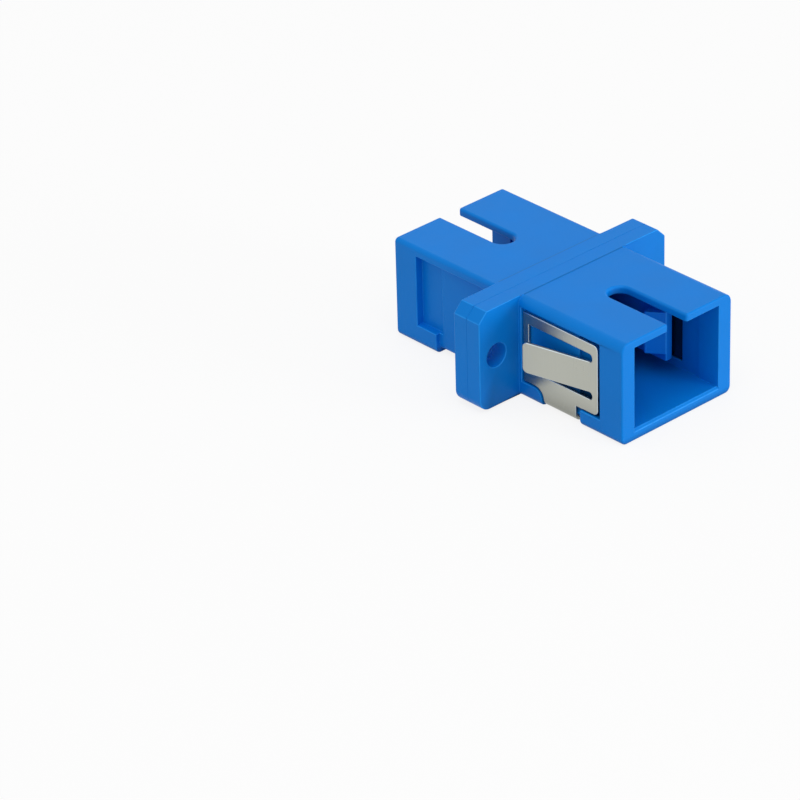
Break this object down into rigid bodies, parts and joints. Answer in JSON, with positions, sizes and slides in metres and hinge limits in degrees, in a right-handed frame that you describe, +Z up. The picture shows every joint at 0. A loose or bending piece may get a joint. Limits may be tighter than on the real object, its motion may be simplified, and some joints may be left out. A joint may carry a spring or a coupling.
{
  "type": "fibre optic adapter",
  "caption": "Flanged simplex SC fibre adapter: keyed plug ports on both sides of a flange with screw ears, latch arms inside, split ferrule sleeve, spring clip for a panel cut-out.",
  "frame": {"origin": "on the resting plane under the optical axis, in the weld plane half way through the flange", "axes": "+X across the flange from screw ear to screw ear, +Y along the optical axis towards the half without the clip, +Z up towards the keyways"},
  "size_m": [0.022, 0.027, 0.0094],
  "materials": {
    "housing": "blue moulded plastic, fine satin",
    "insert": "blue moulded plastic, satin",
    "sleeve": "ground white zirconia",
    "clip": "rolled stainless spring strip"
  },
  "bodies": {
    "root": {"housing_clip_half": "housing", "housing_plain_half": "housing", "latch_insert_front": "insert", "latch_insert_rear": "insert", "alignment_sleeve": "sleeve", "retaining_clip": "clip"}
  },
  "joints": []
}
